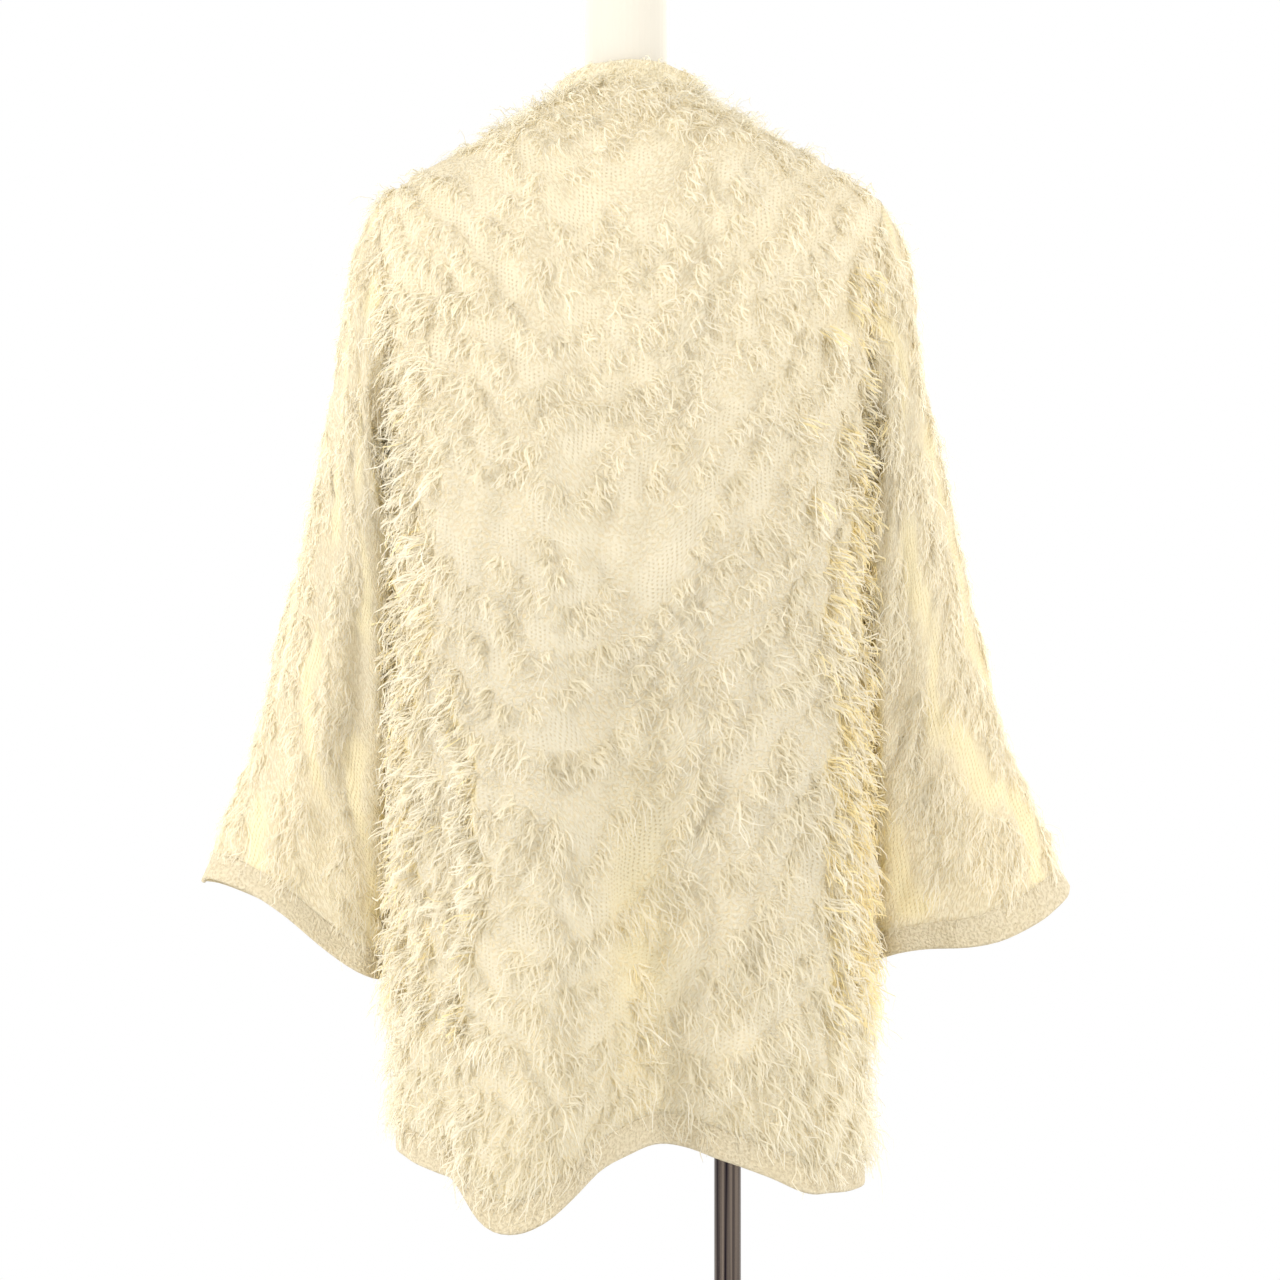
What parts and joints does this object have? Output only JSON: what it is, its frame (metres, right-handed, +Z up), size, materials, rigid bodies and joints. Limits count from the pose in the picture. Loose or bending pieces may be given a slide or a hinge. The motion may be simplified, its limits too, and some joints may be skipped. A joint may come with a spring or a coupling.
{
  "type": "collarless jacket on a dress form",
  "caption": "Collarless shaggy fringed-knit jacket with open fronts and wide sleeves, worn by a smooth limbless dress form on a pole and round base plate.",
  "frame": {"origin": "on the base plate's underside, below the middle of the jacket", "axes": "+Z up, +Y towards the jacket's open fronts, -Y towards its back, +X the wearer's right"},
  "size_m": [0.7185, 0.3659, 1.475],
  "materials": {
    "fringed_knit": "cream open knit covered with cut fringe",
    "band_knit": "cream plain close knit",
    "form_cover": "smooth ivory cover",
    "pole_metal": "dark polished metal",
    "base_metal": "dark satin metal"
  },
  "bodies": {
    "root": {"back": "fringed_knit", "front_left": "fringed_knit", "front_right": "fringed_knit", "sleeve_left": "fringed_knit", "sleeve_right": "fringed_knit", "neck_band": "band_knit", "front_band_left": "band_knit", "front_band_right": "band_knit", "hem_band_back": "band_knit", "hem_band_front_left": "band_knit", "hem_band_front_right": "band_knit", "cuff_band_left": "band_knit", "cuff_band_right": "band_knit", "form_torso": "form_cover", "pole_socket": "pole_metal", "pole": "pole_metal", "base_plate": "base_metal"}
  },
  "joints": []
}
